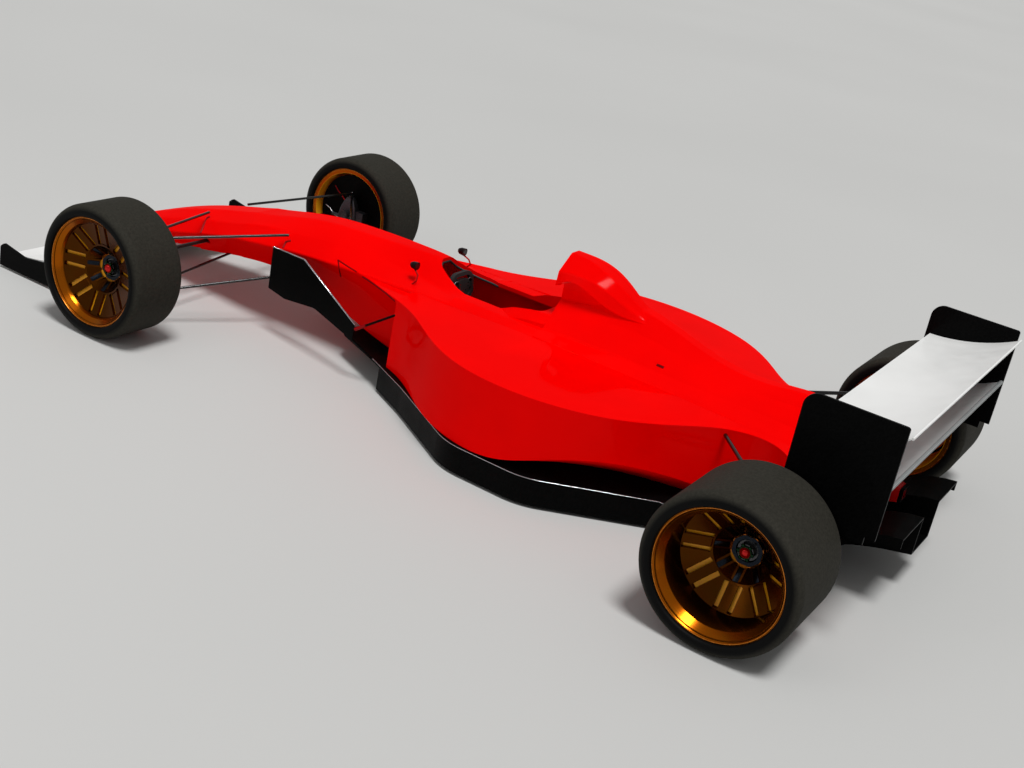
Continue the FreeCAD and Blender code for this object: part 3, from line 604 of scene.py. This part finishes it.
def makeRimBeads(wheel):
    beads = bmesh.new()
    sign = wheel["sign"]
    hubX = wheel["nut"] - sign * hubDeep
    addRing(beads, wheel["axle"], rimBeads["ringRadius"], rimBeads["ringThick"],
            hubX + sign * rimBeads["ringReach"], hubSteps)
    for x in (wheel["outer"] - sign * rimBeads["lipDeep"], wheel["inner"] + sign * rimBeads["lipDeep"]):
        addRing(beads, wheel["axle"], rimBeads["lipRadius"], rimBeads["lipThick"], x, rimSteps)
    finishPiece(beads, "rim_beads_" + wheel["tag"], lipGold, wheel["body"])


# bright cone just behind the slotted part of the disc, a painted highlight for the slots: depth from the
# tyre's outer face, and radius
foilCone = {"edge": {"front": [(0.1135, 0.124), (0.079, 0.226)], "rear": [(0.2635, 0.124), (0.207, 0.226)]},
            "thick": 0.0015}


def makeSlotHighlightFoil(wheel):
    foil = bmesh.new()
    sign = wheel["sign"]
    face = [(wheel["outer"] - sign * depth, radius) for depth, radius in foilCone["edge"][wheel["end"]]]
    back = [(x - sign * foilCone["thick"], radius) for x, radius in reversed(face)]
    addTurned(foil, wheel["axle"], face + back + face[:1], rimSteps)
    finishPiece(foil, "slot_highlight_foil_" + wheel["tag"], slotHighlightFoil, wheel["body"])


# moulded ribs that follow the round shoulder of the tyre's side
tyreRibs = {"radii": (0.292, 0.304), "thick": 0.0011, "shoulder": 0.045, "sink": 0.0006}


def makeTyreRibs(wheel):
    ribs = bmesh.new()
    shoulder = tyreRibs["shoulder"]
    for radius in tyreRibs["radii"]:
        up = radius - (wheel["radius"] - shoulder)
        drop = shoulder - math.sqrt(shoulder ** 2 - up ** 2)
        addRing(ribs, wheel["axle"], radius, tyreRibs["thick"],
                wheel["outer"] - wheel["sign"] * (drop + tyreRibs["sink"]), rimSteps, around=6)
    finishPiece(ribs, "tyre_ribs_" + wheel["tag"], tyreRubber[wheel["end"]], wheel["body"])


for end in wheelCentre:
    for side in sides:
        wheel = wheelPlan(end, side)
        for makeTrim in (makeCap, makeNutCrown, makeCollar, makeRimBeads, makeSlotHighlightFoil, makeTyreRibs):
            makeTrim(wheel)
print("wheel trim made")


def layTube(path, name, material, thick, body="root", smoothing=2):
    # a round section laid along the edges of path
    data = bpy.data.meshes.new(name)
    path.to_mesh(data)
    path.free()
    line = bpy.data.objects.new(name, data)
    scene.collection.objects.link(line)
    for item in scene.objects:
        item.select_set(item == line)
    bpy.context.view_layer.objects.active = line
    bpy.ops.object.convert(target="CURVE")
    line.data.bevel_depth = thick
    line.data.bevel_resolution = smoothing
    line.data.use_fill_caps = True
    bpy.ops.object.convert(target="MESH")
    line.select_set(False)
    line.data.materials.clear()
    line.data.materials.append(material)
    line.data.shade_smooth()
    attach(line, body)
    print(name, len(line.data.polygons), "faces")


def addPath(mesh, points):
    verts = [mesh.verts.new(point) for point in points]
    for pair in zip(verts, verts[1:]):
        mesh.edges.new(pair)


def onSkin(node, near):
    # the spot on a CAD node's skin nearest to a rough place, and the way that the skin faces there
    return nodes[node].closest_point_on_mesh(Vector(near))[1:3]


creaseAngle = 40  # degrees: a panel's edge turns by more than this
wallTurn = -0.2  # upward part of a face's normal, under which it belongs to the panel's underside


def makeBead(node, name, material, thick, keep, inside=False):
    # a round bead laid along a CAD panel's own edge, or along the lower edge of an opening's wall
    copy = bmesh.new()
    copy.from_mesh(nodes[node].data)
    bmesh.ops.remove_doubles(copy, verts=copy.verts, dist=1e-5)
    chosen = [edge for edge in copy.edges if len(edge.link_faces) == 2
              and edge.calc_face_angle(0.0) > math.radians(creaseAngle)
              and all(keep(vert.co) for vert in edge.verts)
              and (not inside or min(face.normal.z for face in edge.link_faces) < wallTurn)]
    bmesh.ops.delete(copy, geom=list(set(copy.edges) - set(chosen)), context="EDGES")
    loose = [vert for vert in copy.verts if not vert.link_edges]
    bmesh.ops.delete(copy, geom=loose, context="VERTS")
    layTube(copy, name, material, thick, smoothing=1)


# bright alloy beads on the floor's outer edge and the barge boards' top edges: painted highlight lines
floorHighlightBead = {"thick": 0.0016, "halfWidth": 0.33, "front": -0.75, "top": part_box("underfloor")[1].z - 0.001}
boardHighlightBead = {"thick": 0.0024, "bottom": 0.292, "back": -0.372}
# black edging inside the front of the cockpit opening
cockpitTrim = {"thick": 0.0062, "bottom": 0.5, "top": 0.61, "front": -0.21, "back": 0.04,
               "halfWidth": 0.16}


def onFloorEdge(p):
    return p.z > floorHighlightBead["top"] and abs(p.x) > floorHighlightBead["halfWidth"] and p.y > floorHighlightBead["front"]


def onBoardTop(p):
    return p.z > boardHighlightBead["bottom"] and p.y < boardHighlightBead["back"]


def roundCockpit(p):
    return (cockpitTrim["bottom"] < p.z < cockpitTrim["top"]
            and cockpitTrim["front"] < p.y < cockpitTrim["back"] and abs(p.x) < cockpitTrim["halfWidth"])


makeBead("underfloor", "floor_edge_highlight_bead", brightAlloyAndHighlight, floorHighlightBead["thick"], onFloorEdge)
for side in sides:
    makeBead("barge_board_" + side, "barge_board_highlight_bead_" + side, brightAlloyAndHighlight, boardHighlightBead["thick"], onBoardTop)
makeBead("monocoque", "cockpit_edge_trim", gripMoulded, cockpitTrim["thick"], roundCockpit, True)
print("edge beads made")

# rounded bars along the trailing edges of the rear planes, just inside the planes' own ends
tailBars = [
    {"node": "rear_wing_lower_plane", "name": "lower_plane_bar", "thick": 0.0095, "material": shadedBarPaint},
    {"node": "rear_wing_upper_plane", "name": "upper_plane_bar", "thick": 0.006, "material": whitePaint}]
barInset = 0.001
barDrop = 0.9  # how far a bar's middle lies under the plane's top, as a share of its radius


def makeTailBar(bar):
    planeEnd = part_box(bar["node"])[1]
    path = bmesh.new()
    addPath(path, [(share * (planeEnd.x - barInset), planeEnd.y - bar["thick"],
                    planeEnd.z - bar["thick"] * barDrop) for share in (-1, -0.5, 0, 0.5, 1)])
    layTube(path, bar["name"], bar["material"], bar["thick"], smoothing=4)


for bar in tailBars:
    makeTailBar(bar)

# thin pieces laid on the body's skin: dark lines of painted shade under the inlet lips, and dark red lines
# down from the upper arms' inner ends
bodyLines = [
    {"name": "inlet_lip_shade_line", "material": gapShadePaint, "thick": 0.0034, "lines": [
        ("monocoque", [(0.265, -0.67, 0.505), (0.285, -0.575, 0.498), (0.3, -0.5, 0.493)]),
        ("sidepod_left", [(0.31, -0.475, 0.49), (0.345, -0.375, 0.49), (0.39, -0.265, 0.49),
                          (0.425, -0.185, 0.485)]),
        ("monocoque", [(0.265, -0.67, 0.505), (0.29, -0.64, 0.487), (0.283, -0.635, 0.455),
                       (0.275, -0.63, 0.43)])]},
    {"name": "arm_dark_line", "material": redEnamel, "thick": 0.006, "lines": [
        ("nose", [(0.155, -1.65, 0.43), (0.158, -1.655, 0.405), (0.2, -1.635, 0.375),
                  (0.235, -1.62, 0.34)]),
        ("monocoque", [(0.255, -1.005, 0.515), (0.25, -1.025, 0.485), (0.28, -1.015, 0.46)])]}]


def makeBodyLine(kind, side, sign):
    path = bmesh.new()
    for node, line in kind["lines"]:
        addPath(path, [onSkin(node, point)[0] * Vector((sign, 1, 1)) for point in line])
    layTube(path, kind["name"] + "_" + side, kind["material"], kind["thick"])


# enamelled sleeve on the outer part of each barge board's stay
staySleeve = {"start": Vector((0.448, -0.39, 0.264)), "end": Vector((0.425, -0.138, 0.44)),
              "span": (0.06, 0.28), "thick": 0.0085}


def makeStaySleeve(side, sign):
    path = bmesh.new()
    addPath(path, [staySleeve["start"].lerp(staySleeve["end"], share) * Vector((sign, 1, 1))
                   for share in staySleeve["span"]])
    layTube(path, "stay_sleeve_" + side, redEnamel, staySleeve["thick"])


for kind in bodyLines:
    for side, sign in sides.items():
        makeBodyLine(kind, side, sign)
for side, sign in sides.items():
    makeStaySleeve(side, sign)
print("body lines laid")

# dished shield inside each front wheel, held by the upright, with the brake lines clipped to it
brakeShield = {"outline": [(0.006, 0.05), (0.006, 0.19), (0.0, 0.214), (0.0, 0.2265), (0.003, 0.2265),
                           (0.003, 0.2155), (0.009, 0.191), (0.009, 0.05), (0.006, 0.05)],
               "inboard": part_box("rim_front_left")[0].x + 0.038,
               "bolts": 10, "boltRing": 0.2, "boltRadius": 0.0045, "boltTall": 0.005,
               "lineThick": 0.003, "lineLift": 0.001}
brakeLines = {
    "red": {"material": redEnamel, "route": [
        (-0.15, 0.128), (-0.126, 0.103), (-0.095, 0.085), (-0.064, 0.059)]},
    "pale": {"material": brightAlloyAndHighlight, "route": [
        (-0.2, -0.008), (-0.165, -0.02), (-0.131, -0.05), (-0.1, -0.055)]}}


def makeBrakeShield(side, sign):
    axle = Vector((0, *wheelCentre["front"]))
    inboard = brakeShield["inboard"]
    shield = bmesh.new()
    addTurned(shield, axle, [(sign * (inboard + x), radius) for x, radius in brakeShield["outline"]],
              rimSteps)
    boltX = Vector((sign * (inboard + brakeShield["boltTall"] / 2), 0, 0))
    for i in range(brakeShield["bolts"]):
        turn = Matrix.Rotation(2 * math.pi * (i + 0.5) / brakeShield["bolts"], 3, "X")
        place = axle + boltX + turn @ Vector((0, 0, brakeShield["boltRing"]))
        addStub(shield, brakeShield["boltRadius"], brakeShield["boltRadius"], brakeShield["boltTall"],
                place, segments=6, turn=Matrix.Rotation(math.pi / 2, 3, "Y"))
    finishPiece(shield, "brake_shield_front_" + side, carbonPanel, "knuckle_" + side)
    for name, line in brakeLines.items():
        path = bmesh.new()
        addPath(path, [axle + Vector((sign * (inboard + brakeShield["lineLift"]), y, z))
                       for y, z in line["route"]])
        layTube(path, "brake_line_" + name + "_front_" + side, line["material"],
                brakeShield["lineThick"], "knuckle_" + side)


for side, sign in sides.items():
    makeBrakeShield(side, sign)
print("brake shields made")

# dark red patch on the engine cover's shoulder: painted shade of a small slot
coverSlotShade = {"size": (0.013, 0.036, 0.0024), "near": (0.18, 1.12, 0.575), "bevel": 0.001}


def makeCoverSlotShade():
    place, facing = onSkin("engine_cover", coverSlotShade["near"])
    turn = Vector((0, 0, 1)).rotation_difference(facing).to_matrix()
    mesh = bmesh.new()
    addBlock(mesh, coverSlotShade["size"], place, coverSlotShade["bevel"], turn)
    finishPiece(mesh, "cover_slot_shade", gapShadePaint, "root")


# glass on the back of each mirror head
mirrorFace = {"centre": onSkin("mirrors", (0.209, -0.2, 0.608))[0], "halfSize": (0.0165, 0.0145),
              "tall": 0.0012, "taper": 0.94}


def makeMirrorGlass(side, sign):
    glass = bmesh.new()
    addStub(glass, 1.0, mirrorFace["taper"], mirrorFace["tall"],
            mirrorFace["centre"] * Vector((sign, 1, 1)), segments=40,
            turn=Matrix.Rotation(-math.pi / 2, 3, "X"), squeeze=(*mirrorFace["halfSize"], 1))
    finishPiece(glass, "mirror_glass_" + side, mirrorGlass, "root")


makeCoverSlotShade()
for side, sign in sides.items():
    makeMirrorGlass(side, sign)

# steering wheel: local x is the car's x, local y runs up the wheel's face and local z to the driver
turnJoint = next(joint for joint in frame["record"]["behaviour"]["joints"]
                 if joint["name"] == "steering_wheel_turn")
wheelPlace = Vector(turnJoint["pos_m"])
faceTurn = (Matrix.Rotation(math.atan2(turnJoint["axis"][2], turnJoint["axis"][1]), 3, "X")
            @ Matrix.Rotation(-math.pi / 2, 3, "X") @ Matrix.Diagonal((1, -1, 1)))


def onWheel(x, y, z):
    return wheelPlace + faceTurn @ Vector((x, y, z))


# screen, shift paddles, switches in two columns and a pair at the bottom, and bright spoke strips that are
# painted highlight lines
steeringScreen = {"size": (0.05, 0.026, 0.003), "place": (0, 0.014, 0.0155), "bevel": 0.001}
steeringPaddle = {"size": (0.036, 0.05, 0.0025), "place": (0.052, 0.004, -0.0185), "bevel": 0.001}
steeringSwitch = {"radius": 0.0042, "taper": 0.8, "tall": 0.006, "face": 0.0165,
                  "places": [(0.034, 0.016), (0.034, 0.0), (0.034, -0.016), (0.012, -0.018)],
                  "material": {"left": redCap, "right": greenAnodisedAndGlint}}
steeringHighlightStrip = {"thick": 0.0017, "face": 0.0125, "line": [
    (0.04, 0.03), (0.058, 0.036), (0.074, 0.03), (0.083, 0.012), (0.084, -0.012)]}


def makeSteeringScreen():
    screen = bmesh.new()
    addBlock(screen, steeringScreen["size"], onWheel(*steeringScreen["place"]), steeringScreen["bevel"],
             faceTurn)
    finishPiece(screen, "steering_screen", mirrorGlass, "steering_wheel")


def makeSteeringPaddles():
    paddles = bmesh.new()
    x, y, z = steeringPaddle["place"]
    for sign in sides.values():
        addBlock(paddles, steeringPaddle["size"], onWheel(sign * x, y, z), steeringPaddle["bevel"],
                 faceTurn)
    finishPiece(paddles, "steering_paddles", blackAnodisedAndBlueSheen, "steering_wheel")


def makeSteeringSwitches(side, sign):
    mesh = bmesh.new()
    radius = steeringSwitch["radius"]
    for x, y in steeringSwitch["places"]:
        addStub(mesh, radius, radius * steeringSwitch["taper"], steeringSwitch["tall"],
                onWheel(sign * x, y, steeringSwitch["face"]), segments=20, turn=faceTurn)
    finishPiece(mesh, "steering_switches_" + side, steeringSwitch["material"][side], "steering_wheel")


# bright alloy strips along the spokes: painted highlight lines
def makeSteeringHighlightStrips():
    path = bmesh.new()
    for sign in sides.values():
        addPath(path, [onWheel(sign * x, y, steeringHighlightStrip["face"]) for x, y in steeringHighlightStrip["line"]])
    layTube(path, "steering_highlight_strips", brightAlloyAndHighlight, steeringHighlightStrip["thick"], "steering_wheel")


makeSteeringScreen()
for side, sign in sides.items():
    makeSteeringSwitches(side, sign)
makeSteeringPaddles()
makeSteeringHighlightStrips()
print("steering wheel dressed")

# webbing laid down the seat from above: two shoulder straps and two lap straps that meet at the buckle
harness = {"thick": 0.0025, "width": 0.044, "steps": 14, "straps": [
    {"from": Vector((0.062, 0.36)), "to": Vector((0.016, 0.075))},
    {"from": Vector((0.15, 0.12)), "to": Vector((0.022, 0.06))}]}
buckle = {"radius": 0.034, "tall": 0.012, "taper": 0.85, "place": (0, 0.062), "gap": 0.004}


def seatTop(x, y):
    # the seat's skin straight below a point
    return nodes["seat"].ray_cast(Vector((x, y, 1)), Vector((0, 0, -1)))[1]


def layStrap(mesh, strap, sign):
    start, end = strap["from"], strap["to"]
    across = (end - start).orthogonal().normalized() * harness["width"] / 2
    made = bmesh.ops.create_grid(mesh, x_segments=3, y_segments=harness["steps"], size=1.0)
    for vert in made["verts"]:
        flat = start.lerp(end, (vert.co.y + 1) / 2) + across * vert.co.x
        vert.co = seatTop(flat.x * sign, flat.y) + Vector((0, 0, harness["thick"]))


def makeHarness():
    webbing = bmesh.new()
    for sign in (-1, 1):
        for strap in harness["straps"]:
            layStrap(webbing, strap, sign)
    bmesh.ops.recalc_face_normals(webbing, faces=webbing.faces)
    bmesh.ops.solidify(webbing, geom=webbing.faces[:], thickness=harness["thick"])
    finishPiece(webbing, "harness_straps", webbingNylon, "root")


def makeBuckle():
    mesh = bmesh.new()
    place = seatTop(*buckle["place"]) + Vector((0, 0, buckle["tall"] / 2 + buckle["gap"]))
    addStub(mesh, buckle["radius"], buckle["radius"] * buckle["taper"], buckle["tall"], place,
            segments=36)
    finishPiece(mesh, "harness_buckle", brightAlloyAndHighlight, "root")


makeHarness()
makeBuckle()

# frame round the rear light, standing a little behind it
lightFrame = {"width": 0.005, "proud": 0.002, "bevel": 0.001}


def makeLightFrame():
    low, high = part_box("rear_light")
    spanX, spanY, spanZ = high - low
    width, proud = lightFrame["width"], lightFrame["proud"]
    mesh = bmesh.new()
    for sign in sides.values():
        for size, place in (
                ((width, spanY + proud, spanZ + 2 * width), (sign * (spanX + width) / 2, proud / 2, 0)),
                ((spanX, spanY + proud, width), (0, proud / 2, sign * (spanZ + width) / 2))):
            addBlock(mesh, size, (low + high) / 2 + Vector(place), lightFrame["bevel"])
    finishPiece(mesh, "rear_light_frame", carbonPanel, "root")


makeLightFrame()
print("small fittings made")


# stage
# world is the sky's strength where the camera, gloss and glass see it, fill its strength as a light
stage = {"floor": "#cececc", "cloud": "#cacac8", "cloudSize": 5.0, "sky": "#e6e6e6", "size": 400.0,
         "world": 0.5, "fill": 0.34}


def makeFloor():
    mesh = bmesh.new()
    bmesh.ops.create_grid(mesh, x_segments=1, y_segments=1, size=stage["size"] / 2)
    data = bpy.data.meshes.new("floor")
    mesh.to_mesh(data)
    mesh.free()
    floor = bpy.data.objects.new("floor", data)
    scene.collection.objects.link(floor)
    material, tree, shader, place = startMaterial("paintedFloorMatt", Roughness=0.9, Specular_IOR_Level=0.1)
    cloud = addNoise(tree, place, stage["cloudSize"], detail=2.0)["Fac"]
    colour = addTones(tree, cloud, stage["cloud"], stage["floor"])
    tree.links.new(colour, shader.inputs["Base Color"])
    data.materials.append(material)


def makeSky():
    world = bpy.data.worlds.new("studio")
    scene.world = world
    world.use_nodes = True
    tree = world.node_tree
    path = addNode(tree, "ShaderNodeLightPath")
    seen = path["Is Camera Ray"]
    for kind in ("Is Glossy Ray", "Is Transmission Ray"):
        seen = addMath(tree, "MAXIMUM", seen, path[kind])
    back = tree.nodes["Background"]
    back.inputs["Color"].default_value = linear(stage["sky"])
    tree.links.new(addRange(tree, seen, 0, 1, stage["fill"], stage["world"]), back.inputs["Strength"])


lampAim = Vector((0.0, 0.0, 0.4))
lamps = [
    {"name": "overheadDiffuser", "kind": "SUN", "place": (1.1, 1.2, 6.0), "power": 2.15, "angle": 16},
    {"name": "sideBox", "kind": "AREA", "place": (5.5, -1.5, 4.2), "power": 30, "size": 3.0}]


def makeLamp(lamp):
    data = bpy.data.lights.new(lamp["name"], lamp["kind"])
    if lamp["kind"] == "SUN":
        data.angle = math.radians(lamp["angle"])
    else:
        data.size = lamp["size"]
    data.energy = lamp["power"]
    item = bpy.data.objects.new(lamp["name"], data)
    scene.collection.objects.link(item)
    item.location = lamp["place"]
    item.rotation_euler = (lampAim - Vector(lamp["place"])).to_track_quat("-Z", "Y").to_euler()


makeFloor()
makeSky()
for lamp in lamps:
    makeLamp(lamp)
print("stage and lamps set")
